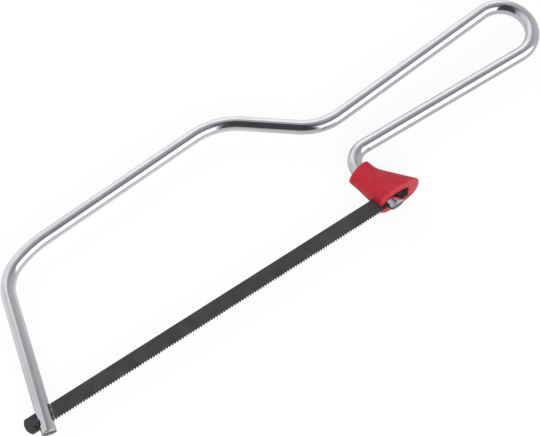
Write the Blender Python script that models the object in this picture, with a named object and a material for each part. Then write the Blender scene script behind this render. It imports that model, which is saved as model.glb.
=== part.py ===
"""Mini hacksaw: a sprung frame bent from one rod, a pin-ended blade and a moulded end cap.

The saw lies flat. +X runs along the blade from its front end to the handle, +Y from the
teeth to the spine, and +Z is up, square to the plane of the bent rod. The pieces are laid
out round the point midway between the two pins, and the parent empty then puts the origin
at the bottom centre of the whole saw.
"""

from math import asin, ceil, copysign, cos, floor, pi, radians, sin

import bmesh
import bpy
from mathutils import Matrix, Vector

MM = 0.001

# Blade
PIN_SPAN = 147.8 * MM            # between the centres of the two pins
BLADE_HEIGHT = 5.8 * MM          # tooth tips to back
BLADE_THICKNESS = 0.65 * MM
PIN_BELOW_MIDDLE = 0.6 * MM      # pin centres below the middle of the blade
BLADE_TAIL = 3.85 * MM           # pin centre to the rounded tip
BLADE_END_RADIUS = 4.0 * MM
TEETH_PER_INCH = 24
TOOTH_DEPTH = 0.6 * MM
TOOTH_RAKE = 0.15 * MM           # how far a tip lies behind its root, seen from the front
TOOTH_SET = 0.14 * MM            # sideways swing of the wavy set
TEETH_PER_WAVE = 8
PLAIN_END = 5.0 * MM             # toothless length from each pin centre

# Pins
PIN_DIAMETER = 2.2 * MM
PIN_LENGTH = 4.4 * MM
PIN_CHAMFER = 0.25 * MM

# Frame rod
ROD_DIAMETER = 5.3 * MM
ROD_END_CHAMFER = 0.35 * MM
FRONT_END_PAST_PIN = 4.25 * MM   # front rod end beyond its pin, along the rod
REAR_END_PAST_PIN = 2.7 * MM     # on the centre line of the rod
SEAT_DEPTH = 0.6 * MM            # how far a pin lies in the outer flank of the rod

# Bends of the rod, as headings from the direction of the blade
FRONT_SPLAY = 15.6               # degrees that the front leg spreads forward
CORNER_TURN = 52.4               # first, tight part of the front corner
SPINE_RISE = 3.3
DIP_FALL = 38.7
HANDLE_RISE = 4.4
LOWER_GRIP_FALL = 1.5
REAR_SPLAY = 11.6                # degrees that the rear leg spreads backward
FRONT_LEG = 50.45 * MM
CORNER_RADIUS = 14.5 * MM
SHOULDER_RADIUS = 43.0 * MM
CREST_RADIUS = 24.9 * MM
VALLEY_RADIUS = 21.2 * MM
UPPER_GRIP = 69.3 * MM
LOOP_RADIUS = 11.1 * MM
LOWER_GRIP = 69.7 * MM
REAR_RADIUS = 7.2 * MM
REAR_LEG = 17.3 * MM

# End cap
COLLAR_WALL = 2.2 * MM
COLLAR_OVER_BEND = 1.55 * MM     # how far the collar reaches over the end of the rear bend
MOUTH_BELOW_PIN = 0.65 * MM      # mouth plane below the pins
FRONT_WALL = 1.8 * MM
SIDE_WALL = 2.9 * MM
REAR_LIP = 4.5 * MM              # finger guard behind the pocket
FRONT_FULLNESS = 3.3             # superellipse power of the mouth's front half
REAR_FULLNESS = 2.4
POCKET_FULLNESS = 2.2
FLARE_START = 0.27               # share of the cap's height where the flare sets in
FLARE_EASE = 0.12                # half the share over which it eases in
CAP_EDGE_RADIUS = 0.5 * MM

# Clearances
PRESS_GAP = 0.05 * MM            # pin in its hole in the blade
SEAT_GAP = 0.1 * MM              # pin on the rod
SLOT_GAP = 0.4 * MM              # each side of the blade
SLOT_ROOT_GAP = 0.4 * MM         # above the back of the blade
CAP_FIT = 0.1 * MM               # cap on the rod
POCKET_GAP = 0.4 * MM            # before the rod, behind and above the blade in the cap
POCKET_SIDE_GAP = 2.85 * MM      # each side of the rod and the pin in the cap

# Facets
ROD_SIDES = 24
PIN_SIDES = 24
CAP_SIDES = 48
BEND_STEP = 7.5                  # degrees of a bend between two rings of the rod
END_ARC_STEPS = 10
EDGE_STEPS = 3
FLARE_STEPS = 10
CUT_OVERRUN = 2.0 * MM           # how far a cutter stands past what it cuts

# Sizes that follow
ROD_RADIUS = ROD_DIAMETER / 2
PIN_RADIUS = PIN_DIAMETER / 2
TOOTH_PITCH = 25.4 * MM / TEETH_PER_INCH
SEAT_OFFSET = ROD_RADIUS + PIN_RADIUS - SEAT_DEPTH
SLOT_WIDTH = BLADE_THICKNESS + 2 * SLOT_GAP
BACK_ABOVE_PIN = PIN_BELOW_MIDDLE + BLADE_HEIGHT / 2
TIPS_BELOW_PIN = BLADE_HEIGHT - BACK_ABOVE_PIN
FRONT_HEADING = 90 - FRONT_SPLAY
LOWER_HEADING = -180 - LOWER_GRIP_FALL
REAR_HEADING = -90 + REAR_SPLAY
UP = Vector((0, 0, 1))


def clear_scene():
    """Removes every object that the scene holds."""
    for old in list(bpy.data.objects):
        bpy.data.objects.remove(old, do_unlink=True)


def material(name, colour, roughness, metallic):
    """A plain Principled material."""
    made = bpy.data.materials.new(name)
    made.use_nodes = True
    shader = made.node_tree.nodes["Principled BSDF"]
    shader.inputs["Base Color"].default_value = (*colour, 1)
    shader.inputs["Roughness"].default_value = roughness
    shader.inputs["Metallic"].default_value = metallic
    return made


def add_object(name, mesh_builder, parent, finish=None, smooth_angle=35):
    """Turns a bmesh into a named object below the parent."""
    mesh = bpy.data.meshes.new(name)
    bmesh.ops.recalc_face_normals(mesh_builder, faces=mesh_builder.faces)
    mesh_builder.to_mesh(mesh)
    mesh_builder.free()
    mesh.shade_smooth()
    mesh.set_sharp_from_angle(angle=radians(smooth_angle))
    if finish:
        mesh.materials.append(finish)
    made = bpy.data.objects.new(name, mesh)
    bpy.context.scene.collection.objects.link(made)
    made.parent = parent
    return made


def cut(target, name, mesh_builder):
    """Cuts a shape out of the target."""
    cutter = add_object(name, mesh_builder, target.parent)
    cutter.hide_render = True
    cutter.display_type = "WIRE"
    change = target.modifiers.new(name, "BOOLEAN")
    change.operation = "DIFFERENCE"
    change.object = cutter


def skin(rings):
    """A closed skin over rings of equally many points, with flat ends."""
    shape = bmesh.new()
    made = [[shape.verts.new(point) for point in ring] for ring in rings]
    count = len(made[0])
    for low, high in zip(made, made[1:]):
        for k in range(count):
            after = (k + 1) % count
            shape.faces.new((low[k], low[after], high[after], high[k]))
    shape.faces.new(list(reversed(made[0])))
    shape.faces.new(made[-1])
    return shape


def circle(centre, across, up, radius, sides):
    """Points of a circle, with flats facing across and up."""
    turns = [2 * pi * (k + 0.5) / sides for k in range(sides)]
    return [centre + radius * (cos(t) * across + sin(t) * up) for t in turns]


def upright_cylinder(centre, radius, length):
    """A round bar along Z with chamfered ends, centred on a point."""
    half = length / 2
    places = (
        (-half, radius - PIN_CHAMFER),
        (PIN_CHAMFER - half, radius),
        (half - PIN_CHAMFER, radius),
        (half, radius - PIN_CHAMFER),
    )
    across = Vector((1, 0, 0))
    along = Vector((0, 1, 0))
    return skin([circle(centre + UP * z, across, along, size, PIN_SIDES) for z, size in places])


def block(centre, along, across, length, width, height):
    """A box turned to two directions in the plane of the saw."""
    shape = bmesh.new()
    bmesh.ops.create_cube(shape, size=1)
    place = Matrix((along * length, across * width, UP * height)).transposed().to_4x4()
    bmesh.ops.transform(shape, matrix=Matrix.Translation(centre) @ place, verts=shape.verts)
    return shape


def direction(heading):
    """Unit vector of a heading in degrees from +X, towards +Y."""
    turn = radians(heading)
    return Vector((cos(turn), sin(turn), 0))


def left_of(heading):
    """Unit vector square to a heading, on its left."""
    return direction(heading + 90)


class Rod:
    """The centre line of the bent rod, laid from one end as straights and bends."""

    def __init__(self, start, heading):
        """Starts with one station at a point."""
        self.heading = heading
        self.stations = [(start, heading)]

    @property
    def end(self):
        """The last point laid."""
        return self.stations[-1][0]

    def straight(self, length):
        """Lays a straight length."""
        self.stations.append((self.end + direction(self.heading) * length, self.heading))

    def bend(self, target, radius):
        """Bends to a new heading, to the left if it is higher."""
        turn = target - self.heading
        side = copysign(1, turn)
        centre = self.end + left_of(self.heading) * radius * side
        steps = ceil(abs(turn) / BEND_STEP)
        for step in range(1, steps + 1):
            heading = self.heading + turn * step / steps
            self.stations.append((centre - left_of(heading) * radius * side, heading))
        self.heading = target


def lay_rod(front_pin, spine, dip):
    """Lays the rod as far as the end of the rear bend, for the lengths of spine and dip.

    Gives the rod and the number of its first station on the rear bend.
    """
    past = direction(FRONT_HEADING) * FRONT_END_PAST_PIN
    rod = Rod(front_pin - past - left_of(FRONT_HEADING) * SEAT_OFFSET, FRONT_HEADING)
    rod.straight(FRONT_LEG)
    rod.bend(FRONT_HEADING - CORNER_TURN, CORNER_RADIUS)
    rod.bend(SPINE_RISE, SHOULDER_RADIUS)
    rod.straight(spine)
    rod.bend(-DIP_FALL, CREST_RADIUS)
    rod.straight(dip)
    rod.bend(HANDLE_RISE, VALLEY_RADIUS)
    rod.straight(UPPER_GRIP)
    rod.bend(LOWER_HEADING, LOOP_RADIUS)
    rod.straight(LOWER_GRIP)
    rear_bend = len(rod.stations) - 1
    rod.bend(REAR_HEADING, REAR_RADIUS)
    return rod, rear_bend


def frame_rod(front_pin, rear_pin):
    """The rod with a spine and a dip just long enough to bring its rear leg to the rear pin.

    Gives the stations of the whole rod and those from the rear bend on.
    """
    leg = direction(REAR_HEADING) * (REAR_LEG - REAR_END_PAST_PIN)
    missing = rear_pin - left_of(REAR_HEADING) * SEAT_OFFSET - leg - lay_rod(front_pin, 0, 0)[0].end
    along_spine = direction(SPINE_RISE)
    along_dip = direction(-DIP_FALL)
    turned = along_spine.cross(along_dip).z
    spine = missing.cross(along_dip).z / turned
    dip = along_spine.cross(missing).z / turned
    rod, rear_bend = lay_rod(front_pin, spine, dip)
    rod.straight(REAR_LEG)
    return rod.stations, rod.stations[rear_bend:]


def rod_ring(point, heading, radius=ROD_RADIUS):
    """A ring round the rod, square to its heading."""
    return circle(point, left_of(heading), UP, radius, ROD_SIDES)


def level_ring(point, heading, radius=ROD_RADIUS):
    """A ring round the rod, cut parallel to the blade."""
    along = direction(heading)
    ring = rod_ring(point, heading, radius)
    return [spot + along * (point.y - spot.y) / along.y for spot in ring]


def rod_shape(stations):
    """The swept rod with chamfered ends, square at the front and parallel to the blade at the rear."""
    first, first_heading = stations[0]
    last, last_heading = stations[-1]
    worn = ROD_RADIUS - ROD_END_CHAMFER
    rings = [rod_ring(first, first_heading, worn)]
    rings.append(rod_ring(first + direction(first_heading) * ROD_END_CHAMFER, first_heading))
    rings += [rod_ring(point, heading) for point, heading in stations[1:-1]]
    rings.append(level_ring(last - direction(last_heading) * ROD_END_CHAMFER, last_heading))
    rings.append(level_ring(last, last_heading, worn))
    return skin(rings)


def cut_rod_end(frame, name, end, inward_heading, pin):
    """Saws the slot for the blade into a rod end and sinks the seat for its pin."""
    inward = direction(inward_heading)
    across = left_of(inward_heading)
    root = pin.y + BACK_ABOVE_PIN + SLOT_ROOT_GAP
    depth = (root - end.y + ROD_RADIUS * abs(across.y)) / inward.y
    length = depth + CUT_OVERRUN
    centre = end + inward * (depth - length / 2)
    width = ROD_DIAMETER + CUT_OVERRUN
    cut(frame, name + "_slot", block(centre, inward, across, length, width, SLOT_WIDTH))
    cut(frame, name + "_seat", upright_cylinder(pin, PIN_RADIUS + SEAT_GAP, width))


def blade_end(shape, side, corners):
    """Closes one end of the blade with its round tip, from the lowest corner to the back."""
    half = BLADE_HEIGHT / 2
    centre = side * (PIN_SPAN / 2 + BLADE_TAIL - BLADE_END_RADIUS)
    reach = asin(half / BLADE_END_RADIUS)
    turns = [reach * (1 - 2 * k / END_ARC_STEPS) for k in range(END_ARC_STEPS + 1)]
    tip = [
        shape.verts.new((
            centre + side * BLADE_END_RADIUS * cos(turn),
            PIN_BELOW_MIDDLE + BLADE_END_RADIUS * sin(turn),
            -BLADE_THICKNESS / 2,
        ))
        for turn in turns
    ]
    shape.faces.new(tip + corners)


def blade_shape():
    """The toothed blade, laid out between its pins, with its teeth on a wavy set."""
    root = TOOTH_DEPTH - TIPS_BELOW_PIN
    count = floor((PIN_SPAN - 2 * PLAIN_END) / TOOTH_PITCH)
    places = [(k - count / 2) * TOOTH_PITCH for k in range(count + 1)]
    shape = bmesh.new()

    def corner(x, y, swing=0):
        return shape.verts.new((x, y, swing - BLADE_THICKNESS / 2))

    backs = [corner(x, BACK_ABOVE_PIN) for x in places]
    roots = [corner(x, root) for x in places]
    for k in range(count):
        swing = TOOTH_SET * sin(2 * pi * k / TEETH_PER_WAVE)
        tip = corner(places[k] + TOOTH_RAKE, -TIPS_BELOW_PIN, swing)
        shape.faces.new((roots[k], roots[k + 1], backs[k + 1], backs[k]))
        shape.faces.new((roots[k], tip, roots[k + 1]))
    front_heel = corner(places[0] - TOOTH_DEPTH, -TIPS_BELOW_PIN)
    rear_heel = corner(places[-1] + TOOTH_DEPTH, -TIPS_BELOW_PIN)
    blade_end(shape, -1, [front_heel, roots[0], backs[0]])
    blade_end(shape, 1, [rear_heel, roots[-1], backs[-1]])
    raised = bmesh.ops.extrude_face_region(shape, geom=shape.faces[:])["geom"]
    lifted = [item for item in raised if isinstance(item, bmesh.types.BMVert)]
    bmesh.ops.translate(shape, verts=lifted, vec=UP * BLADE_THICKNESS)
    return shape


def flare(share):
    """How far the cap has opened, 0 at the collar and 1 at the mouth, at a share of its height."""
    slope = 1 / (1 - FLARE_START)
    eased = share - FLARE_START + FLARE_EASE
    if eased <= 0:
        return 0
    if eased >= 2 * FLARE_EASE:
        return (share - FLARE_START) * slope
    return slope * eased ** 2 / (4 * FLARE_EASE)


def swell(value, fullness):
    """A cosine or sine pushed out to a superellipse."""
    return copysign(abs(value) ** (2 / fullness), value)


class Cap:
    """The end cap: its places on the rear leg and the outlines that follow from them."""

    def __init__(self, rear_stations, rear_pin):
        """Works out the collar, the pocket and the mouth."""
        self.stations = rear_stations
        bend_end = rear_stations[-2][0]
        self.along = direction(REAR_HEADING)
        self.across = left_of(REAR_HEADING)
        self.pin = rear_pin
        self.top = bend_end - self.along * COLLAR_OVER_BEND
        self.mouth_y = rear_pin.y - MOUTH_BELOW_PIN
        self.foot = self.top + self.along * (self.mouth_y - self.top.y) / self.along.y
        self.height = (self.foot - self.top).length
        self.collar_radius = ROD_RADIUS + CAP_FIT + COLLAR_WALL
        rod_reach = ROD_RADIUS / self.across.x
        self.pocket_front = self.foot.x - rod_reach - POCKET_GAP
        self.pocket_rear = rear_pin.x + BLADE_TAIL + POCKET_GAP
        self.pocket_half = max(PIN_LENGTH / 2, ROD_RADIUS) + POCKET_SIDE_GAP
        self.mouth_front = self.pocket_front - FRONT_WALL
        self.mouth_rear = self.pocket_rear + REAR_LIP
        self.mouth_half = self.pocket_half + SIDE_WALL

    def mouth_point(self, turn):
        """A point of the mouth's outline, measured from the rod's centre in the mouth."""
        fullness = REAR_FULLNESS if cos(turn) > 0 else FRONT_FULLNESS
        middle = (self.mouth_front + self.mouth_rear) / 2 - self.foot.x
        reach = (self.mouth_rear - self.mouth_front) / 2
        x = middle + reach * swell(cos(turn), fullness)
        return Vector((x, 0, self.mouth_half * swell(sin(turn), fullness)))

    def ring(self, share, inset):
        """A ring of the outer skin at a share of the height, drawn in by an inset."""
        open_share = flare(share)
        centre = self.top.lerp(self.foot, share)
        points = []
        for k in range(CAP_SIDES):
            turn = 2 * pi * (k + 0.5) / CAP_SIDES
            collar = self.collar_radius * (cos(turn) * self.across + sin(turn) * UP)
            reach = collar.lerp(self.mouth_point(turn), open_share)
            points.append(centre + reach * (1 - inset / reach.length))
        return points

    def outer_shape(self):
        """The outer skin from the rounded top of the collar to the rounded rim of the mouth."""
        edge = CAP_EDGE_RADIUS / self.height
        rings = []
        for k in range(EDGE_STEPS):
            turn = pi / 2 * k / EDGE_STEPS
            rings.append(self.ring(edge * (1 - cos(turn)), CAP_EDGE_RADIUS * (1 - sin(turn))))
        for k in range(FLARE_STEPS + 1):
            rings.append(self.ring(edge + (1 - 2 * edge) * k / FLARE_STEPS, 0))
        for k in range(1, EDGE_STEPS + 1):
            turn = pi / 2 * k / EDGE_STEPS
            rings.append(self.ring(1 - edge * (1 - sin(turn)), CAP_EDGE_RADIUS * (1 - cos(turn))))
        return skin(rings)

    def bore_shape(self):
        """The bore round the rear leg and the end of the rear bend."""
        radius = ROD_RADIUS + CAP_FIT
        return skin([rod_ring(point, heading, radius) for point, heading in self.stations])

    def pocket_shape(self):
        """The rounded pocket for the rod end, the pin and the blade's tail."""
        low = self.mouth_y - CUT_OVERRUN
        high = self.pin.y + BACK_ABOVE_PIN + POCKET_GAP
        middle = (self.pocket_front + self.pocket_rear) / 2
        reach = (self.pocket_rear - self.pocket_front) / 2
        outline = []
        for k in range(CAP_SIDES):
            turn = 2 * pi * (k + 0.5) / CAP_SIDES
            x = middle + reach * swell(cos(turn), POCKET_FULLNESS)
            outline.append((x, self.pocket_half * swell(sin(turn), POCKET_FULLNESS)))
        return skin([[Vector((x, y, z)) for x, z in outline] for y in (low, high)])

    def blade_slot_shape(self):
        """The slot that lets the blade out through the front wall."""
        low = self.mouth_y - CUT_OVERRUN
        high = self.pin.y + BACK_ABOVE_PIN + SLOT_ROOT_GAP
        front = self.mouth_front - self.collar_radius
        rear = self.foot.x
        centre = Vector(((front + rear) / 2, (low + high) / 2, 0))
        return block(centre, direction(0), direction(90), rear - front, high - low, SLOT_WIDTH)


def add_empty(name, parent=None):
    """An empty that carries other objects."""
    made = bpy.data.objects.new(name, None)
    bpy.context.scene.collection.objects.link(made)
    made.parent = parent
    return made


def seat_origin(saw, pieces):
    """Moves the saw so that the origin is at the bottom centre of its pieces."""
    bpy.context.view_layer.update()
    graph = bpy.context.evaluated_depsgraph_get()
    solid = [piece.evaluated_get(graph) for piece in pieces]
    corners = [piece.matrix_world @ Vector(corner) for piece in solid for corner in piece.bound_box]
    low = Vector([min(corner[axis] for corner in corners) for axis in range(3)])
    high = Vector([max(corner[axis] for corner in corners) for axis in range(3)])
    saw.location = Vector((-(low.x + high.x) / 2, -(low.y + high.y) / 2, -low.z))


def main():
    """Builds the saw."""
    clear_scene()
    plated = material("bright_plated_steel", (0.74, 0.75, 0.77), 0.16, 1.0)
    blackened = material("blackened_steel", (0.058, 0.060, 0.063), 0.45, 0.6)
    pin_steel = material("pin_steel", (0.09, 0.09, 0.095), 0.4, 0.8)
    red_plastic = material("red_plastic", (0.48, 0.03, 0.05), 0.4, 0.0)

    saw = add_empty("saw")
    front_pin = Vector((-PIN_SPAN / 2, 0, 0))
    rear_pin = Vector((PIN_SPAN / 2, 0, 0))

    stations, rear_stations = frame_rod(front_pin, rear_pin)
    frame = add_object("frame", rod_shape(stations), saw, plated)
    cut_rod_end(frame, "front", stations[0][0], FRONT_HEADING, front_pin)
    cut_rod_end(frame, "rear", stations[-1][0], REAR_HEADING + 180, rear_pin)

    blade_slide = add_empty("blade_slide", saw)
    blade = add_object("blade", blade_shape(), blade_slide, blackened, smooth_angle=20)
    pins = []
    for name, place in (("front_pin", front_pin), ("rear_pin", rear_pin)):
        hole = upright_cylinder(place, PIN_RADIUS + PRESS_GAP, BLADE_THICKNESS + CUT_OVERRUN)
        cut(blade, name + "_hole", hole)
        pin_shape = upright_cylinder(Vector(), PIN_RADIUS, PIN_LENGTH)
        pin = add_object(name, pin_shape, blade_slide, pin_steel)
        pin.location = place
        pins.append(pin)

    cap = Cap(rear_stations, rear_pin)
    end_cap = add_object("end_cap", cap.outer_shape(), saw, red_plastic)
    cut(end_cap, "cap_bore", cap.bore_shape())
    cut(end_cap, "cap_pocket", cap.pocket_shape())
    cut(end_cap, "cap_blade_slot", cap.blade_slot_shape())

    seat_origin(saw, [frame, blade, end_cap, *pins])


main()
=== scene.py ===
"""Looks of the mini hacksaw: a bent plated rod, a blackened blade, two cross pins and a moulded end cap.

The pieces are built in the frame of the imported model. +X runs along the blade from its front end to
the handle, +Y from the teeth to the spine, and +Z is up, square to the plane of the bent rod.
Lengths are in metres, and headings are in degrees from +X towards +Y.
"""

import logging
from collections.abc import Mapping, Sequence
from dataclasses import dataclass, field
from enum import Enum
from functools import cache, partial, reduce
from math import asin, atan2, ceil, copysign, cos, floor, pi, radians, sin
from typing import Any

import bmesh
import bpy
import numpy as np
from mathutils import Matrix, Vector


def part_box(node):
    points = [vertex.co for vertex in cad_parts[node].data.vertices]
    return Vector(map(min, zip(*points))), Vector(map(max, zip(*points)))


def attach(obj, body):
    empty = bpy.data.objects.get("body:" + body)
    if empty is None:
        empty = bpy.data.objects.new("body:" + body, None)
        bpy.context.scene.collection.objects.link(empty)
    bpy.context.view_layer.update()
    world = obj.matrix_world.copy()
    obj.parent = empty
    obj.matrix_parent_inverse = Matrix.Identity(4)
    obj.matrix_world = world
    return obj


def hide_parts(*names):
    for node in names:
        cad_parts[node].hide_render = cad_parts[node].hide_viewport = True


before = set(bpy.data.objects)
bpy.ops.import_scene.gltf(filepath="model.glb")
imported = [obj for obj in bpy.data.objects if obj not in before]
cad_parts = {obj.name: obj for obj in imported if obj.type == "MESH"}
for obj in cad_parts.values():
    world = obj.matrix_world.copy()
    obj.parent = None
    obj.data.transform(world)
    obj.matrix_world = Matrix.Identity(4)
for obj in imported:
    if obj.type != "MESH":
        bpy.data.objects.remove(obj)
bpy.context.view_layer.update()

LOG = logging.getLogger("mini_hacksaw")
MM = 0.001
INCH = 25.4 * MM
# Points closer than this count as one.
WELD = 0.002 * MM
# Most values of a noise lie between these two.
MOST_NOISE = (0.3, 0.7)
RIGHT = Vector((1, 0, 0))
AHEAD = Vector((0, 1, 0))
UP = Vector((0, 0, 1))
# Attributes of the meshes.
GIRTH = "girth"
FLOW = "flow"
SAWN = "sawn"
RIM = "rim"

Colour = tuple[float, float, float]
Pair = tuple[float, float]
Inputs = Mapping[str | int, Any]
Ring = list[Vector]
Shape = bmesh.types.BMesh
Piece = bpy.types.Object
Material = bpy.types.Material
Socket = bpy.types.NodeSocket
Tree = bpy.types.NodeTree


class Body(Enum):
    """The bodies that pieces ride on."""

    FRAME = "frame"
    BLADE = "blade"


class Slot(Enum):
    """The material slots of the record."""

    ROD = "plated_rod"
    BLADE = "blackened_blade"
    PIN = "pin_steel"
    CAP = "red_plastic"


class Along(Enum):
    """Which end of the saw a piece is at, as the sign of its direction along X."""

    FRONT = -1
    REAR = 1


class Bench:
    """Adds and joins the nodes of one tree."""

    def __init__(self, tree: Tree) -> None:
        """Takes the tree to work on."""
        self.tree = tree

    def fill(self, node: bpy.types.Node, inputs: Inputs) -> None:
        """Sets a node's sockets to values, or joins the outputs of other nodes to them.

        Args:
            node: The node.
            inputs: The values and outputs, by the name or number of the socket.
        """
        for key, value in inputs.items():
            if isinstance(value, Socket):
                self.tree.links.new(value, node.inputs[key])
            else:
                node.inputs[key].default_value = value

    def add(self, kind: str, inputs: Inputs | None = None, **settings: Any) -> bpy.types.Node:
        """Adds a node.

        Args:
            kind: Blender's identifier of the node.
            inputs: What to fill its sockets with.
            **settings: Values of the node's own properties.

        Returns:
            The new node.
        """
        node = self.tree.nodes.new(kind)
        for name, value in settings.items():
            setattr(node, name, value)
        self.fill(node, inputs or {})
        return node

    def make(self, kind: str, inputs: Inputs | None = None, **settings: Any) -> Socket:
        """Adds a node and gives its first output."""
        return self.add(kind, inputs, **settings).outputs[0]

    def math(self, operation: str, *values: Any) -> Socket:
        """Works out one step of arithmetic on values or sockets."""
        return self.make("ShaderNodeMath", dict(enumerate(values)), operation=operation)

    def product(self, *factors: Any) -> Socket:
        """Multiplies values or sockets."""
        return reduce(partial(self.math, "MULTIPLY"), factors)

    def ease(self, value: Any, low: Any, high: Any, start: Any = 0.0, end: Any = 1.0) -> Socket:
        """Eases from start to end while a value goes from low to high."""
        levels = dict(enumerate((value, low, high, start, end)))
        return self.make("ShaderNodeMapRange", levels, interpolation_type="SMOOTHSTEP")

    def between(self, share: Any, first: Any, second: Any) -> Socket:
        """Eases from a first level to a second while a share goes from 0 to 1."""
        return self.ease(share, 0.0, 1.0, first, second)

    def band(self, value: Socket, start: float, end: float, soft: float) -> Socket:
        """A band of a value, rising softly round its start and falling round its end."""
        rising = self.ease(value, start - soft, start + soft)
        return self.product(rising, self.ease(value, end + soft, end - soft))

    def blend(self, share: Any, first: Colour | Socket, second: Colour | Socket) -> Socket:
        """Blends two colours by the share of the second."""
        # The colours of this node are its inputs 6 and 7 and its output 2.
        low, high = (paint if isinstance(paint, Socket) else (*paint, 1) for paint in (first, second))
        return self.add("ShaderNodeMix", {0: share, 6: low, 7: high}, data_type="RGBA").outputs[2]

    def axes(self, vector: Socket) -> bpy.types.NodeOutputs:
        """The X, Y and Z sockets of a vector."""
        return self.add("ShaderNodeSeparateXYZ", {0: vector}).outputs

    def noise(self, place: Socket, scale: Any, detail: float, **others: float) -> Socket:
        """Noise from 0 to 1 at a place, with any other inputs of its node under their own names."""
        return self.make("ShaderNodeTexNoise", {"Vector": place, "Scale": scale, "Detail": detail} | others)


class Group(Bench):
    """A shader group being built, with named inputs and one named output."""

    kind = "ShaderNodeTree"

    def __init__(self, name: str, inputs: Mapping[str, str], output: tuple[str, str]) -> None:
        """Starts the group.

        Args:
            name: Its name.
            inputs: The type of each input by its name.
            output: The name and the type of the output.
        """
        super().__init__(bpy.data.node_groups.new(name, self.kind))
        sockets = [(*socket, "INPUT") for socket in inputs.items()] + [(*output, "OUTPUT")]
        for title, data, side in sockets:
            self.tree.interface.new_socket(name=title, in_out=side, socket_type="NodeSocket" + data)
        self.given = self.add("NodeGroupInput").outputs

    def close(self, result: Socket) -> Tree:
        """Joins the group's output and gives the finished tree."""
        self.add("NodeGroupOutput", {0: result})
        return self.tree


class ShapeGroup(Group):
    """A geometry group being built, with a Finish among its inputs."""

    kind = "GeometryNodeTree"

    def dress(self, shape: Socket) -> Tree:
        """Closes the group on a real shape in the material of its Finish input."""
        whole = self.make("GeometryNodeRealizeInstances", {0: shape})
        return self.close(self.make("GeometryNodeSetMaterial", {0: whole, "Material": self.given["Finish"]}))


def heading_vector(heading: float) -> Vector:
    """Unit vector of a heading."""
    return Vector((cos(radians(heading)), sin(radians(heading)), 0))


def left_of(heading: float) -> Vector:
    """Unit vector square to a heading, on its left."""
    return heading_vector(heading + 90)


def circle(centre: Vector, across: Vector, up: Vector, radius: float, turns: Sequence[float]) -> Ring:
    """Points of a circle at turns in radians, from across towards up."""
    return [centre + radius * (cos(turn) * across + sin(turn) * up) for turn in turns]


def even_turns(count: int) -> list[float]:
    """Evenly spaced turns round a circle, in radians."""
    return [2 * pi * (k + 0.5) / count for k in range(count)]


def rounded(radius: float, steps: int) -> list[Pair]:
    """Points of a rounded edge, as distances from the two faces that it joins."""
    turns = [pi / 2 * step / steps for step in range(steps + 1)]
    return [(radius * (1 - cos(turn)), radius * (1 - sin(turn))) for turn in turns]


def oval(turn: float, fullness: float) -> Pair:
    """The point of a superellipse with unit half axes at a turn in radians."""
    wide, tall = (copysign(abs(value) ** (2 / fullness), value) for value in (cos(turn), sin(turn)))
    return wide, tall


def join_rows(shape: Shape, first: Sequence, second: Sequence, closed: bool = False) -> None:
    """Lays faces between two rows of equally many vertices, which may run round to their start."""
    for k in range(0 if closed else 1, len(first)):
        shape.faces.new((first[k - 1], first[k], second[k], second[k - 1]))


def skin(rings: Sequence[Ring]) -> Shape:
    """Lays a skin over rings of equally many points, with flat ends.

    Args:
        rings: The rings, in order.

    Returns:
        The skin.
    """
    shape = bmesh.new()
    made = [[shape.verts.new(point) for point in ring] for ring in rings]
    shape.faces.new(list(reversed(made[0])))
    shape.faces.new(made[-1])
    for low, high in zip(made, made[1:]):
        join_rows(shape, low, high, closed=True)
    bmesh.ops.recalc_face_normals(shape, faces=shape.faces)
    return shape


def block(centre: Vector, along: Vector, across: Vector, size: Vector) -> Shape:
    """A box turned to two directions in the plane of the saw.

    Args:
        centre: Its centre.
        along: Unit vector of its length.
        across: Unit vector of its width.
        size: Length, width and height.

    Returns:
        The box.
    """
    shape = bmesh.new()
    bmesh.ops.create_cube(shape, size=1)
    place = Matrix((along * size.x, across * size.y, UP * size.z)).transposed().to_4x4()
    bmesh.ops.transform(shape, matrix=Matrix.Translation(centre) @ place, verts=shape.verts)
    return shape


def add_object(name: str, shape: Shape) -> Piece:
    """Turns a shape into an object at the origin.

    Args:
        name: The name of the object.
        shape: Its shape, which is used up.

    Returns:
        The object.
    """
    mesh = bpy.data.meshes.new(name)
    shape.to_mesh(mesh)
    shape.free()
    made = bpy.data.objects.new(name, mesh)
    bpy.context.scene.collection.objects.link(made)
    return made


def drop(helper: Piece) -> None:
    """Removes a helper's mesh, and with it the helper."""
    bpy.data.meshes.remove(helper.data)


def settle(piece: Piece) -> None:
    """Turns what a piece's modifiers make into its own plain mesh.

    Args:
        piece: The piece.
    """
    bpy.context.view_layer.update()
    graph = bpy.context.evaluated_depsgraph_get()
    shown = piece.evaluated_get(graph)
    made = bpy.data.meshes.new_from_object(shown, preserve_all_data_layers=True, depsgraph=graph)
    piece.modifiers.clear()
    old = piece.data
    piece.data = made
    bpy.data.meshes.remove(old)
    made.name = piece.name


def run_nodes(piece: Piece, tree: Tree, sizes: Mapping[str, Any]) -> None:
    """Runs a geometry tree on a piece and keeps the result as its mesh.

    Args:
        piece: The object that carries the tree's input geometry.
        tree: The geometry tree.
        sizes: Values of the tree's inputs by name.
    """
    modifier = piece.modifiers.new(tree.name, "NODES")
    modifier.node_group = tree
    for socket in tree.interface.items_tree:
        if socket.in_out == "INPUT" and socket.name in sizes:
            modifier[socket.identifier] = sizes[socket.name]
    settle(piece)


def cut(piece: Piece, shapes: Sequence[Shape]) -> None:
    """Cuts shapes out of a piece.

    Args:
        piece: The piece.
        shapes: What to cut away, in order.
    """
    cutters = [add_object(f"{piece.name}_cutter_{k}", shape) for k, shape in enumerate(shapes)]
    for cutter in cutters:
        change = piece.modifiers.new(cutter.name, "BOOLEAN")
        change.operation = "DIFFERENCE"
        change.solver = "EXACT"
        change.object = cutter
    settle(piece)
    for cutter in cutters:
        drop(cutter)


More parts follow.
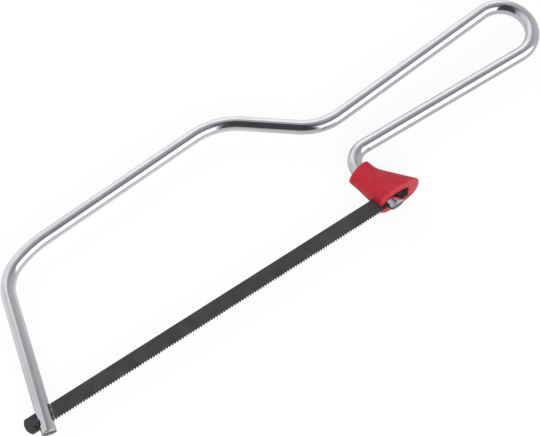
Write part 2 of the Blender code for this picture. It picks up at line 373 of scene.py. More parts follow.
def hand_over(piece: Piece, sharp_over: float, body: Body, node: str) -> None:
    """Shades a finished piece and puts it in the place of its CAD node.

    Args:
        piece: The piece.
        sharp_over: The angle in degrees over which its edges are sharp.
        body: The body that it rides on.
        node: The CAD node that it stands for.
    """
    mesh = piece.data
    mesh.shade_smooth()
    mesh.set_sharp_from_angle(angle=radians(sharp_over))
    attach(piece, body.value)
    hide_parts(node)
    mesh.calc_loop_triangles()
    LOG.info("%s: %d triangles", piece.name, len(mesh.loop_triangles))


def start_effect(name: str, output: str, *numbers: str) -> Group:
    """Starts a shader group that reads a vector, a count per metre and other numbers."""
    inputs = {"Vector": "Vector"} | dict.fromkeys(("Per metre", *numbers), "Float")
    return Group(name, inputs, (output, "Float"))


@cache
def fine_lines() -> Tree:
    """Fine lines along the first axis of a vector, as a height.

    Returns:
        The group.
    """
    group = start_effect("fine_lines", "Height", "Length")
    given = group.given
    x, y, z = group.axes(given["Vector"])
    short = group.math("DIVIDE", x, given["Length"])
    drawn = group.make("ShaderNodeCombineXYZ", {0: short, 1: y, 2: z})
    return group.close(group.noise(drawn, given["Per metre"], detail=3.0, Roughness=0.6))


@cache
def soft_smudges() -> Tree:
    """Soft cloudy patches where a surface was handled, as a mask.

    Returns:
        The group.
    """
    group = start_effect("smudges", "Mask")
    given = group.given
    look = {"Roughness": 0.55, "Distortion": 0.6}
    cloud = group.noise(given["Vector"], given["Per metre"], detail=4.0, **look)
    return group.close(group.ease(cloud, low=0.38, high=0.68))


@cache
def edge_wear() -> Tree:
    """Wear along edges, broken up by grain, as a mask.

    Returns:
        The group.
    """
    group = start_effect("edge_wear", "Mask", "Edge", "Amount")
    given = group.given
    grain = group.noise(given["Vector"], given["Per metre"], detail=5.0)
    broken = group.ease(grain, low=0.35, high=0.65)
    return group.close(group.product(given["Edge"], broken, given["Amount"]))


@cache
def small_specks() -> Tree:
    """Sparse specks of dust and pits, as a mask.

    Returns:
        The group.
    """
    group = start_effect("specks", "Mask", "Size")
    given = group.given
    spots = {"Vector": given["Vector"], "Scale": given["Per metre"]}
    cells = group.add("ShaderNodeTexVoronoi", spots).outputs
    chosen = group.ease(group.axes(cells["Color"])[0], low=0.7, high=0.95)
    inside = group.math("SUBTRACT", group.product(chosen, given["Size"]), cells["Distance"])
    return group.close(group.ease(inside, low=0.0, high=0.05))


class Coat(Bench):
    """A material being mixed: its nodes, its shader and the place on the piece."""

    def __init__(self, name: str) -> None:
        """Starts a material with a Principled shader.

        Args:
            name: The name of the material.
        """
        self.material = bpy.data.materials.new(name)
        self.material.use_nodes = True
        super().__init__(self.material.node_tree)
        self.shader = self.tree.nodes["Principled BSDF"]
        self.place = self.add("ShaderNodeTexCoord").outputs["Object"]

    def attribute(self, name: str) -> bpy.types.NodeOutputs:
        """The outputs of a mesh attribute."""
        return self.add("ShaderNodeAttribute", attribute_name=name).outputs

    def effect(self, tree: Tree, vector: Socket, per_metre: float, **others: Any) -> Socket:
        """Places a shared effect, with any other inputs of its group under their own names."""
        inputs = {"Vector": vector, "Per metre": per_metre} | others
        return self.make("ShaderNodeGroup", inputs, node_tree=tree)

    def dress(self, inputs: Inputs, *layers: tuple[Socket, float]) -> Material:
        """Fills the shader's inputs and raises its surface by height layers.

        Args:
            inputs: The values and sockets of the inputs.
            *layers: Each layer's height socket and its depth.

        Returns:
            The finished material.
        """
        self.fill(self.shader, inputs)
        normal = {}
        for height, depth in layers:
            bump = {"Height": height, "Distance": depth, "Strength": 1.0} | normal
            normal = {"Normal": self.make("ShaderNodeBump", bump)}
        self.fill(self.shader, normal)
        return self.material


@dataclass(frozen=True)
class PlatedSteel:
    """Bright plating over a drawn rod, with duller sawn faces at its ends."""

    bright: Colour = (0.755, 0.77, 0.80)
    cloudy: Colour = (0.70, 0.715, 0.75)
    sawn: Colour = (0.66, 0.67, 0.69)
    polish: float = 0.075
    streak: float = 0.05
    haze: float = 0.15
    sawn_roughness: float = 0.36
    smudges: float = 140.0
    pits: float = 420.0
    pit_size: float = 0.16
    pit_tone: float = 0.35
    draw_lines: float = 5200.0
    draw_length: float = 60.0
    draw_depth: float = 0.0015 * MM
    saw_lines: float = 9000.0
    saw_length: float = 30.0
    saw_depth: float = 0.02 * MM

    def material(self) -> Material:
        """Mixes the plating.

        Returns:
            The material.
        """
        coat = Coat("bright_plating")
        flow = coat.attribute(FLOW)["Vector"]
        sawn = coat.attribute(SAWN)["Fac"]
        smudge = coat.effect(soft_smudges(), flow, self.smudges)
        drawn = coat.effect(fine_lines(), flow, self.draw_lines, Length=self.draw_length)
        pits = coat.effect(small_specks(), flow, self.pits, Size=self.pit_size)
        marks = coat.effect(fine_lines(), coat.place, self.saw_lines, Length=self.saw_length)
        plated = coat.blend(smudge, self.bright, self.cloudy)
        pitted = coat.blend(coat.product(pits, self.pit_tone), plated, self.sawn)
        streaked = coat.math("MULTIPLY_ADD", drawn, self.streak, self.polish - self.streak / 2)
        hazed = coat.between(smudge, 0.0, self.haze - self.polish)
        rough = coat.between(sawn, coat.math("ADD", streaked, hazed), self.sawn_roughness)
        colour = coat.blend(sawn, pitted, self.sawn)
        inputs = {"Base Color": colour, "Roughness": rough, "Metallic": 1.0}
        return coat.dress(inputs, (drawn, self.draw_depth), (coat.product(marks, sawn), self.saw_depth))


@dataclass(frozen=True)
class BlackenedSteel:
    """Black oxide over rolled steel, rubbed along the teeth and the back, with a paler bare strip beside the
    rod.
    """

    rod: "BentFrame"
    blade: "SawBlade"
    oxide: Colour = (0.050, 0.052, 0.055)
    faded: Colour = (0.068, 0.069, 0.072)
    bare: Colour = (0.30, 0.30, 0.31)
    pale_strip: Colour = (0.52, 0.52, 0.53)
    roughness: Pair = (0.41, 0.52)
    rubbed_roughness: float = 0.34
    metal: float = 0.45
    smudges: float = 90.0
    specks: float = 700.0
    speck_size: float = 0.2
    speck_tone: float = 0.12
    roll_lines: float = 6000.0
    roll_length: float = 40.0
    roll_tone: float = 0.4
    roll_depth: float = 0.006 * MM
    rub: float = 0.35
    rub_grain: float = 2600.0
    rub_width: float = 0.18 * MM
    pale_strip_amount: float = 0.9
    pale_strip_grain: float = 1400.0
    pale_strip_from: float = 2.62 * MM
    pale_strip_to: float = 3.15 * MM
    pale_strip_soft: float = 0.12 * MM

    def _beside_rod(self, coat: Coat) -> Socket:
        """A strip along the right side of the front leg, where the blade is paler and bare.

        Args:
            coat: The material being mixed.

        Returns:
            The strip as a mask.
        """
        across = -left_of(self.rod.front_heading)
        sides = {0: coat.place, 1: across}
        away = coat.add("ShaderNodeVectorMath", sides, operation="DOT_PRODUCT").outputs["Value"]
        line = self.rod.line.points[0].dot(across)
        return coat.band(away, line + self.pale_strip_from, line + self.pale_strip_to, self.pale_strip_soft)

    def material(self) -> Material:
        """Mixes the oxide.

        Returns:
            The material.
        """
        coat = Coat("black_oxide")
        place = coat.place
        height = coat.axes(place)[1]
        smudge = coat.effect(soft_smudges(), place, self.smudges)
        rolled = coat.effect(fine_lines(), place, self.roll_lines, Length=self.roll_length)
        specks = coat.effect(small_specks(), place, self.specks, Size=self.speck_size)
        tipped = coat.ease(height, self.blade.root, self.blade.tips)
        backed = coat.ease(height, self.blade.back - self.rub_width, self.blade.back)
        edge = coat.math("MAXIMUM", tipped, backed)
        strip = self._beside_rod(coat)
        rubbed = coat.effect(edge_wear(), place, self.rub_grain, Edge=edge, Amount=self.rub)
        # A paler, barer and smoother band of the blade runs beside the front leg, placed by its distance
        # from the rod.
        pale_strip = coat.effect(edge_wear(), place, self.pale_strip_grain, Edge=strip, Amount=self.pale_strip_amount)
        base = coat.blend(smudge, self.oxide, self.faded)
        toned = coat.ease(rolled, low=0.45, high=0.75, end=self.roll_tone)
        lined = coat.blend(toned, base, self.faded)
        dusty = coat.blend(coat.product(specks, self.speck_tone), lined, self.bare)
        colour = coat.blend(pale_strip, coat.blend(rubbed, dusty, self.bare), self.pale_strip)
        worn = coat.math("MAXIMUM", rubbed, pale_strip)
        rough = coat.ease(rolled, *MOST_NOISE, *self.roughness)
        inputs = {
            "Base Color": colour,
            "Roughness": coat.between(worn, rough, self.rubbed_roughness),
            "Metallic": coat.between(worn, self.metal, 1.0),
        }
        return coat.dress(inputs, (rolled, self.roll_depth))


@dataclass(frozen=True)
class TurnedSteel:
    """Dark steel of a pin, with turning marks on its ends."""

    name: str
    centre: Vector
    steel: Colour = (0.046, 0.047, 0.050)
    bright: Colour = (0.075, 0.075, 0.080)
    roughness: Pair = (0.38, 0.54)
    metal: float = 0.45
    smudges: float = 900.0
    smudge_tone: float = 0.3
    rub: float = 0.4
    rub_grain: float = 3000.0
    rub_from: float = 0.8 * MM
    rub_to: float = 1.05 * MM
    marks: float = 5200.0
    mark_depth: float = 0.008 * MM

    def material(self) -> Material:
        """Mixes the steel.

        Returns:
            The material.
        """
        coat = Coat(self.name)
        place = coat.make("ShaderNodeMapping", {"Vector": coat.place, "Location": -self.centre})
        x, y, z = coat.axes(place)
        flat = coat.make("ShaderNodeCombineXYZ", {0: x, 1: y})
        reach = coat.add("ShaderNodeVectorMath", {0: flat}, operation="LENGTH").outputs["Value"]
        turned = coat.make("ShaderNodeCombineXYZ", {1: reach, 2: z})
        marks = coat.effect(fine_lines(), turned, self.marks, Length=1.0)
        smudge = coat.effect(soft_smudges(), place, self.smudges)
        edge = coat.ease(reach, self.rub_from, self.rub_to)
        worn = coat.effect(edge_wear(), place, self.rub_grain, Edge=edge, Amount=self.rub)
        base = coat.blend(worn, self.steel, self.bright)
        colour = coat.blend(coat.product(smudge, self.smudge_tone), base, self.bright)
        rough = coat.ease(marks, *MOST_NOISE, *self.roughness)
        inputs = {"Base Color": colour, "Roughness": rough, "Metallic": self.metal}
        return coat.dress(inputs, (marks, self.mark_depth))


@dataclass(frozen=True)
class MouldedPlastic:
    """Satin red plastic with a fine moulded grain, paler where its edges are rubbed."""

    body: Colour = (0.465, 0.017, 0.034)
    deep: Colour = (0.435, 0.011, 0.025)
    rubbed: Colour = (0.60, 0.055, 0.075)
    roughness: Pair = (0.42, 0.49)
    rubbed_roughness: float = 0.36
    sheen: float = 0.28
    smudges: float = 160.0
    specks: float = 800.0
    speck_size: float = 0.14
    speck_tone: float = 0.10
    rub: float = 0.6
    rub_grain: float = 1500.0
    grain: float = 5200.0
    grain_depth: float = 0.012 * MM
    ripples: float = 260.0
    ripple_depth: float = 0.03 * MM

    def material(self) -> Material:
        """Mixes the plastic.

        Returns:
            The material.
        """
        coat = Coat("red_moulding")
        place = coat.place
        rim = coat.attribute(RIM)["Fac"]
        grain = coat.noise(place, self.grain, detail=2.0)
        ripple = coat.noise(place, self.ripples, detail=1.0)
        smudge = coat.effect(soft_smudges(), place, self.smudges)
        worn = coat.effect(edge_wear(), place, self.rub_grain, Edge=rim, Amount=self.rub)
        specks = coat.effect(small_specks(), place, self.specks, Size=self.speck_size)
        base = coat.blend(smudge, self.body, self.deep)
        dusty = coat.blend(coat.product(specks, self.speck_tone), base, self.rubbed)
        rough = coat.between(smudge, *self.roughness)
        inputs = {
            "Base Color": coat.blend(worn, dusty, self.rubbed),
            "Roughness": coat.between(worn, rough, self.rubbed_roughness),
            "Specular IOR Level": self.sheen,
        }
        return coat.dress(inputs, (ripple, self.ripple_depth), (grain, self.grain_depth))


@dataclass(frozen=True)
class PaleFloor:
    """A white floor that stays white in the picture and in the metal, and keeps a faint shadow."""

    paper: Colour = (0.82, 0.82, 0.82)
    fleck: Colour = (0.7, 0.7, 0.7)
    fleck_tone: float = 0.04
    fibres: float = 900.0
    glow: float = 1.03
    glow_share: float = 0.86
    mirrored_front: float = 0.52
    mirrored_back: float = 0.92
    brighter_from: float = -20.0 * MM
    brighter_to: float = 50.0 * MM

    def material(self) -> Material:
        """Mixes the floor.

        Returns:
            The material.
        """
        made = bpy.data.materials.new("pale_floor")
        made.use_nodes = True
        made.node_tree.nodes.clear()
        bench = Bench(made.node_tree)
        place = bench.add("ShaderNodeTexCoord").outputs["Object"]
        fibre = bench.noise(place, self.fibres, detail=3.0)
        tone = bench.ease(fibre, *MOST_NOISE, end=self.fleck_tone)
        paper = bench.make("ShaderNodeBsdfDiffuse", {0: bench.blend(tone, self.paper, self.fleck)})
        path = bench.add("ShaderNodeLightPath").outputs
        mirrored = bench.math("MAXIMUM", path["Is Glossy Ray"], path["Is Transmission Ray"])
        seen = bench.math("MAXIMUM", path["Is Camera Ray"], mirrored)
        rise = (self.brighter_from, self.brighter_to, self.mirrored_front, self.mirrored_back)
        level = bench.between(mirrored, self.glow, bench.ease(bench.axes(place)[1], *rise))
        light = bench.make("ShaderNodeEmission", {"Strength": level})
        share = bench.product(seen, self.glow_share)
        mixed = bench.make("ShaderNodeMixShader", {0: share, 1: paper, 2: light})
        bench.add("ShaderNodeOutputMaterial", {"Surface": mixed})
        return made


@dataclass
class RodLine:
    """The centre line of a bent rod, laid from one end as straights and bends.

    Attributes:
        points: The points laid so far.
        headings: The heading at each point.
        bend_step: Degrees of a bend between two points.
    """

    points: list[Vector]
    headings: list[float]
    bend_step: float = 2.0

    def straight(self, length: float) -> None:
        """Lays a straight length."""
        self.points.append(self.points[-1] + heading_vector(self.headings[-1]) * length)
        self.headings.append(self.headings[-1])

    def bend(self, target: float, radius: float) -> None:
        """Bends to a new heading, to the left if it is higher.

        Args:
            target: The new heading.
            radius: The bend's radius on the centre line.
        """
        start = self.headings[-1]
        turn = target - start
        side = copysign(radius, turn)
        centre = self.points[-1] + left_of(start) * side
        steps = ceil(abs(turn) / self.bend_step)
        for step in range(1, steps + 1):
            heading = start + turn * step / steps
            self.points.append(centre - left_of(heading) * side)
            self.headings.append(heading)


@dataclass
class BentFrame:
    """The frame: one plated rod with front leg, spine, dip, handle loop and rear leg."""

    front_pin: Vector
    rear_pin: Vector
    diameter: float = 5.3 * MM
    front_past_pin: float = 4.25 * MM
    rear_past_pin: float = 2.7 * MM
    seat_offset: float = 3.15 * MM
    seat_radius: float = 1.2 * MM
    slot_width: float = 1.45 * MM
    slot_above_pin: float = 3.9 * MM
    front_heading: float = 74.4
    corner_turn: float = 52.4
    spine_heading: float = 3.3
    dip_heading: float = -38.7
    handle_heading: float = 4.4
    lower_heading: float = -181.5
    rear_heading: float = -78.4
    front_leg: float = 50.45 * MM
    corner_radius: float = 14.5 * MM
    shoulder_radius: float = 43.0 * MM
    crest_radius: float = 24.9 * MM
    valley_radius: float = 21.2 * MM
    upper_grip: float = 69.3 * MM
    loop_radius: float = 11.1 * MM
    lower_grip: float = 69.7 * MM
    rear_radius: float = 7.2 * MM
    rear_leg: float = 17.3 * MM
    end_rounding: float = 0.35 * MM
    end_steps: int = 5
    sawn_length: float = 1.0 * MM
    sawn_inside: float = 0.97
    sawn_flatness: float = 0.98
    sides: int = 72
    seat_sides: int = 64
    overrun: float = 2.0 * MM
    sharp_over: float = 35.0
    line: RodLine = field(init=False)
    rear_bend: int = field(init=False)

    def __post_init__(self) -> None:
        """Lays the centre line, with spine and dip just long enough to reach the rear pin."""
        leg = heading_vector(self.rear_heading) * (self.rear_leg - self.rear_past_pin)
        goal = self.rear_pin - left_of(self.rear_heading) * self.seat_offset - leg
        missing = goal - self._lay(0, 0).points[-1]
        along_spine = heading_vector(self.spine_heading)
        along_dip = heading_vector(self.dip_heading)
        # What is missing is a sum of the two directions, and each length is its share of that sum.
        turned = along_spine.cross(along_dip).z
        spine = missing.cross(along_dip).z / turned
        dip = along_spine.cross(missing).z / turned
        self.line = self._lay(spine, dip)
        self.line.straight(self.rear_leg)

    @property
    def radius(self) -> float:
        """Half the rod's diameter."""
        return self.diameter / 2

    def _lay(self, spine: float, dip: float) -> RodLine:
        """Lays the rod as far as the end of its rear bend, and notes where that bend begins.

        Args:
            spine: Straight length of the spine.
            dip: Straight length of the dip.

        Returns:
            The centre line.
        """
        past = heading_vector(self.front_heading) * self.front_past_pin
        start = self.front_pin - past - left_of(self.front_heading) * self.seat_offset
        line = RodLine([start], [self.front_heading])
        line.straight(self.front_leg)
        line.bend(self.front_heading - self.corner_turn, self.corner_radius)
        line.bend(self.spine_heading, self.shoulder_radius)
        line.straight(spine)
        line.bend(self.dip_heading, self.crest_radius)
        line.straight(dip)
        line.bend(self.handle_heading, self.valley_radius)
        line.straight(self.upper_grip)
        line.bend(self.lower_heading, self.loop_radius)
        line.straight(self.lower_grip)
        self.rear_bend = len(line.points) - 1
        line.bend(self.rear_heading, self.rear_radius)
        return line

    def rear_stations(self) -> list[tuple[Vector, float]]:
        """Points and headings from the start of the rear bend to the rear end."""
        return list(zip(self.line.points, self.line.headings))[self.rear_bend:]

    def _path(self) -> Piece:
        """The centre line as an object, with the girth that rounds the rod's ends.

        Returns:
            The object.
        """
        spots = [(point, 1.0) for point in self.line.points]
        edge = rounded(self.end_rounding, self.end_steps)
        # Each pass rounds the first end and then turns the line about.
        for _ in Along:
            end = spots[0][0]
            inward = (spots[1][0] - end).normalized()
            slimmed = [(end + inward * deep, 1 - thin / self.radius) for deep, thin in edge]
            spots = (slimmed + spots[1:])[::-1]
        shape = bmesh.new()
        layer = shape.verts.layers.float.new(GIRTH)
        verts = [shape.verts.new(point) for point, _ in spots]
        for vert, (_, girth) in zip(verts, spots):
            vert[layer] = girth
        for pair in zip(verts, verts[1:]):
            shape.edges.new(pair)
        return add_object("bent_rod", shape)

    def _sweep_tree(self) -> Tree:
        """Builds the tree that sweeps a round section along the rod's centre line.

        Returns:
            The tree.
        """
        inputs = {"Path": "Geometry", "Radius": "Float", "Sides": "Int", "Finish": "Material"}
        group = ShapeGroup("bent_rod_sweep", inputs, ("Rod", "Geometry"))
        given = group.given
        line = group.make("GeometryNodeMeshToCurve", {"Mesh": given["Path"]})
        level = group.make("GeometryNodeSetCurveNormal", {"Curve": line}, mode="Z_UP")
        girth = group.add("GeometryNodeInputNamedAttribute", {"Name": GIRTH}).outputs["Attribute"]
        sizes = {"Resolution": given["Sides"], "Radius": given["Radius"]}
        section = group.make("GeometryNodeCurvePrimitiveCircle", sizes)
        sweep = {"Curve": level, "Profile Curve": section, "Scale": girth, "Fill Caps": True}
        return group.dress(group.make("GeometryNodeCurveToMesh", sweep))

    def _level_rear_end(self, rod: Piece) -> None:
        """Leans the rear end face until it is parallel to the blade.

        Args:
            rod: The swept rod.
        """
        along = heading_vector(self.rear_heading)
        across = left_of(self.rear_heading)
        for vert in rod.data.vertices:
            away = vert.co - self.line.points[-1]
            if away.length < self.diameter and away.dot(along) > -self.end_rounding - WELD:
                vert.co -= along * away.dot(across) * across.y / along.y

    def _end_cutters(self, place: Vector, heading: float, pin: Vector) -> list[Shape]:
        """The blade slot and the pin seat of one rod end.

        Args:
            place: The end of the centre line.
            heading: The heading from there into the rod.
            pin: The centre of the pin.

        Returns:
            The two shapes to cut away.
        """
        inward = heading_vector(heading)
        across = left_of(heading)
        root = pin.y + self.slot_above_pin
        depth = (root - place.y + self.radius * abs(across.y)) / inward.y
        length = depth + self.overrun
        width = self.diameter + self.overrun
        centre = place + inward * (depth - length / 2)
        slot = block(centre, inward, across, Vector((length, width, self.slot_width)))
        turns = even_turns(self.seat_sides)
        ends = (pin - UP * width / 2, pin + UP * width / 2)
        seat = skin([circle(point, RIGHT, AHEAD, self.seat_radius, turns) for point in ends])
        return [slot, seat]

    def _unbend(self, places: np.ndarray) -> np.ndarray:
        """Finds where places lie on the rod as it was before bending.

        Args:
            places: The places, one to a row.

        Returns:
            The distance of each along the rod, to its left and up.
        """
        points = np.array(self.line.points)
        steps = np.diff(points, axis=0)
        lengths = np.linalg.norm(steps, axis=1)
        starts = np.cumsum(lengths) - lengths
        away = places[:, None, :] - points[None, :-1, :]
        share = np.clip((away * steps).sum(2) / lengths**2, 0, 1)
        offset = away - share[..., None] * steps
        nearest = np.argmin((offset**2).sum(2), axis=1)
        row = np.arange(len(places))
        chosen = offset[row, nearest]
        along = steps[nearest] / lengths[nearest, None]
        side = chosen[:, 1] * along[:, 0] - chosen[:, 0] * along[:, 1]
        run = starts[nearest] + share[row, nearest] * lengths[nearest]
        return np.stack([run, side, chosen[:, 2]], axis=1)

    def _map_flow(self, rod: Piece) -> None:
        """Stores where each point lies on the unbent rod, and which faces are sawn.

        Args:
            rod: The cut rod.
        """
        mesh = rod.data
        flow = self._unbend(np.array([vert.co for vert in mesh.vertices]))
        store = mesh.attributes.new(FLOW, "FLOAT_VECTOR", "POINT")
        store.data.foreach_set("vector", flow.astype(np.float32).ravel())
        run, side, up = self._unbend(np.array([face.center for face in mesh.polygons])).T
        normals = np.array([face.normal for face in mesh.polygons])
        inside = np.hypot(side, up) < self.sawn_inside * self.radius
        ends = (run < self.sawn_length) | (run > flow[:, 0].max() - self.sawn_length)
        flat = np.abs(normals[:, 2]) > self.sawn_flatness
        sawn = (inside & (flat | ends)).astype(np.float32)
        mesh.attributes.new(SAWN, "FLOAT", "FACE").data.foreach_set("value", sawn)

    def build(self, finish: Material) -> None:
        """Builds and dresses the rod.

        Args:
            finish: Its plating.
        """
        rod = self._path()
        sizes = {"Radius": self.radius, "Sides": self.sides, "Finish": finish}
        run_nodes(rod, self._sweep_tree(), sizes)
        self._level_rear_end(rod)
        points = self.line.points
        front = self._end_cutters(points[0], self.front_heading, self.front_pin)
        rear = self._end_cutters(points[-1], self.rear_heading + 180, self.rear_pin)
        cut(rod, front + rear)
        self._map_flow(rod)
        hand_over(rod, self.sharp_over, Body.FRAME, "frame")


@dataclass
class SawBlade:
    """The pin-ended blade: two plain tails and a run of equal slices with one tooth each.

    A tooth's outline is given as shares of the pitch along the blade and of the depth of the teeth. The
    teeth are set to either side in a wave, from the crease above their gullets on.
    """

    front_pin: Vector
    rear_pin: Vector
    height: float = 5.8 * MM
    thickness: float = 0.65 * MM
    pin_below_middle: float = 0.6 * MM
    tail: float = 3.85 * MM
    end_radius: float = 4.0 * MM
    end_steps: int = 32
    hole_radius: float = 1.15 * MM
    teeth_per_inch: int = 24
    tooth_depth: float = 0.6 * MM
    plain_end: float = 5.0 * MM
    swing: float = 0.14 * MM
    teeth_per_wave: float = 8.0
    fading_teeth: int = 4
    crease_above_root: float = 0.35 * MM
    outline_step: float = 0.4 * MM
    sharp_over: float = 20.0
    tooth: tuple[Pair, ...] = (
        (0.000, 0.00), (0.045, 0.05), (0.080, 0.18), (0.135, 0.97), (0.165, 1.00),
        (0.225, 0.96), (0.640, 0.36), (0.830, 0.11), (1.000, 0.00),
    )
    pitch: float = field(init=False)
    teeth: int = field(init=False)
    back: float = field(init=False)
    tips: float = field(init=False)
    root: float = field(init=False)
    crease: float = field(init=False)
    faces: Pair = field(init=False)

    def __post_init__(self) -> None:
        """Works out the run of teeth and the heights of back, tips, gullets, crease and the two faces."""
        self.pitch = INCH / self.teeth_per_inch
        self.teeth = floor((self.rear_pin.x - self.front_pin.x - 2 * self.plain_end) / self.pitch)
        self.back = self.front_pin.y + self.pin_below_middle + self.height / 2
        self.tips = self.back - self.height
        self.root = self.tips + self.tooth_depth
        self.crease = self.root + self.crease_above_root
        self.faces = (-self.thickness / 2, self.thickness / 2)

    def edge_of_teeth(self, end: Along) -> float:
        """Where the run of teeth ends, along X."""
        middle = (self.front_pin.x + self.rear_pin.x) / 2
        return middle + end.value * self.teeth * self.pitch / 2

    def _slice(self) -> Piece:
        """One slice of the blade with one tooth, from X zero on, and open at both cuts.

        Returns:
            The slice.
        """
        shape = bmesh.new()
        spots = [(share * self.pitch, self.root - depth * self.tooth_depth) for share, depth in self.tooth]
        sheets = []
        for z in self.faces:
            low = [shape.verts.new((x, y, z)) for x, y in spots]
            high = [shape.verts.new((x, self.crease, z)) for x, _ in spots]
            top = [shape.verts.new((x, self.back, z)) for x in (0, self.pitch)]
            join_rows(shape, low, high)
            shape.faces.new(high + [top[1], top[0]])
            sheets.append((low, top))
        for below, above in zip(*sheets):
            join_rows(shape, below, above)
        return add_object("tooth_slice", shape)

    def _tail_outline(self, pin: Vector, end: Along) -> list[Pair]:
        """The outline of a tail, from the back at the teeth round its pin to the crease at the teeth.

        Args:
            pin: The centre of its pin.
            end: Which tail.

        Returns:
            The places along X and Y.
        """
        side = end.value
        start = self.edge_of_teeth(end)
        centre = Vector((pin.x + side * (self.tail - self.end_radius), self.back - self.height / 2))
        reach = asin(self.height / 2 / self.end_radius)
        corners = [Vector((start, self.back))]
        for k in range(self.end_steps + 1):
            turn = reach * (1 - 2 * k / self.end_steps)
            corners.append(centre + self.end_radius * Vector((side * cos(turn), sin(turn))))
        corners += [Vector((start + side * self.tooth_depth, self.tips)), Vector((start, self.root))]
        spots = []
        for first, second in zip(corners, corners[1:]):
            steps = max(1, ceil((second - first).length / self.outline_step))
            spots += [tuple(first.lerp(second, k / steps)) for k in range(steps)]
        return spots + [(start, self.root), (start, self.crease)]

    def _add_tail(self, shape: Shape, pin: Vector, end: Along) -> None:
        """Adds one tail with its pin hole to a shape, open where the teeth begin.

        Args:
            shape: The shape.
            pin: The centre of the tail's pin.
            end: Which tail.
        """
        spots = self._tail_outline(pin, end)
        turns = [atan2(y - pin.y, x - pin.x) for x, y in spots]
        sheets = []
        for z in self.faces:
            outer = [shape.verts.new((x, y, z)) for x, y in spots]
            hole = circle(Vector((pin.x, pin.y, z)), RIGHT, AHEAD, self.hole_radius, turns)
            inner = [shape.verts.new(point) for point in hole]
            join_rows(shape, outer, inner, closed=True)
            sheets.append((outer, inner))
        (outer, inner), (outer_up, inner_up) = sheets
        join_rows(shape, inner, inner_up, closed=True)
        # The cut from the root by the crease to the back has no wall, because the teeth go on from there.
        join_rows(shape, outer[:-1], outer_up[:-1])

    def _teeth_tree(self) -> Tree:
        """Builds the tree that repeats the slice between the tails and swings the teeth to their set.

        Returns:
            The tree.
        """
        inputs = {"Tails": "Geometry", "Slice": "Object", "Teeth": "Int", "Finish": "Material"}
        sizes = ("Pitch", "First", "Height", "Crease", "Tips", "Swing", "Teeth per Wave")
        inputs |= dict.fromkeys(sizes, "Float")
        group = ShapeGroup("toothed_run", inputs, ("Blade", "Geometry"))
        given = group.given
        step = group.make("ShaderNodeCombineXYZ", {0: given["Pitch"]})
        begin = group.make("ShaderNodeCombineXYZ", {0: given["First"], 2: given["Height"]})
        places = {"Count": given["Teeth"], "Start Location": begin, "Offset": step}
        row = group.make("GeometryNodeMeshLine", places, mode="OFFSET")
        one = group.add("GeometryNodeObjectInfo", {"Object": given["Slice"], "As Instance": True})
        copies = {"Points": row, "Instance": one.outputs["Geometry"]}
        run = group.make("GeometryNodeInstanceOnPoints", copies)
        joined = group.add("GeometryNodeJoinGeometry")
        for part in (given["Tails"], run):
            group.fill(joined, {0: part})
        whole = group.make("GeometryNodeRealizeInstances", {0: joined.outputs[0]})
        welded = group.make("GeometryNodeMergeByDistance", {"Geometry": whole, "Distance": WELD})
        x, y, _ = group.axes(group.make("GeometryNodeInputPosition"))
        teeth_on = group.math("DIVIDE", group.math("SUBTRACT", x, given["First"]), given["Pitch"])
        teeth_left = group.math("SUBTRACT", given["Teeth"], teeth_on)
        fade_in, fade_out = (group.ease(teeth, 0, self.fading_teeth) for teeth in (teeth_on, teeth_left))
        waves = group.math("DIVIDE", teeth_on, given["Teeth per Wave"])
        wave = group.math("SINE", group.product(waves, 2 * pi))
        reach = group.ease(y, given["Crease"], given["Tips"])
        lift = group.product(wave, reach, fade_in, fade_out, given["Swing"])
        offset = group.make("ShaderNodeCombineXYZ", {2: lift})
        return group.dress(group.make("GeometryNodeSetPosition", {"Geometry": welded, "Offset": offset}))

    def build(self, finish: Material) -> None:
        """Builds and dresses the blade.

        Args:
            finish: Its oxide.
        """
        shape = bmesh.new()
        self._add_tail(shape, self.front_pin, Along.FRONT)
        self._add_tail(shape, self.rear_pin, Along.REAR)
        bmesh.ops.translate(shape, verts=shape.verts, vec=UP * self.front_pin.z)
        blade = add_object("saw_blade", shape)
        tooth_slice = self._slice()
        sizes = {"Slice": tooth_slice, "Teeth": self.teeth, "Pitch": self.pitch, "Finish": finish}
        sizes |= {"First": self.edge_of_teeth(Along.FRONT), "Height": self.front_pin.z}
        sizes |= {"Crease": self.crease, "Tips": self.tips}
        sizes |= {"Swing": self.swing, "Teeth per Wave": self.teeth_per_wave}
        run_nodes(blade, self._teeth_tree(), sizes)
        drop(tooth_slice)
        shape = bmesh.new()
        shape.from_mesh(blade.data)
        bmesh.ops.recalc_face_normals(shape, faces=shape.faces)
        shape.to_mesh(blade.data)
        shape.free()
        hand_over(blade, self.sharp_over, Body.BLADE, "blade")


@dataclass
class CrossPin:
    """A short turned pin through one end of the blade, with rounded edges and slightly domed ends."""

    node: str
    centre: Vector
    radius: float = 1.1 * MM
    length: float = 4.4 * MM
    rounding: float = 0.25 * MM
    rounding_steps: int = 5
    dome: float = 0.06 * MM
    dome_rings: tuple[float, ...] = (0.75, 0.5, 0.25, 0.06)
    sides: int = 48
    sharp_over: float = 40.0

    def _profile(self) -> list[Pair]:
        """The outline of one half of the pin.

        Returns:
            Radius and height of each ring from the middle of the pin to its end.
        """
        flat = self.length / 2 - self.dome
        land = self.radius - self.rounding
        edge = rounded(self.rounding, self.rounding_steps)
        spots = [(self.radius, 0.0)] + [(self.radius - deep, flat - thin) for deep, thin in edge]
        return spots + [(land * share, flat + self.dome * (1 - share**2)) for share in self.dome_rings]

    def build(self) -> None:
        """Builds and dresses the pin."""
        half = self._profile()
        spots = [(reach, -height) for reach, height in reversed(half[1:])] + half
        turns = even_turns(self.sides)
        rings = [circle(self.centre + UP * height, RIGHT, AHEAD, reach, turns) for reach, height in spots]
        pin = add_object(self.node + "_turned", skin(rings))
        pin.data.materials.append(TurnedSteel(self.node + "_steel", self.centre).material())
        hand_over(pin, self.sharp_over, Body.BLADE, self.node)


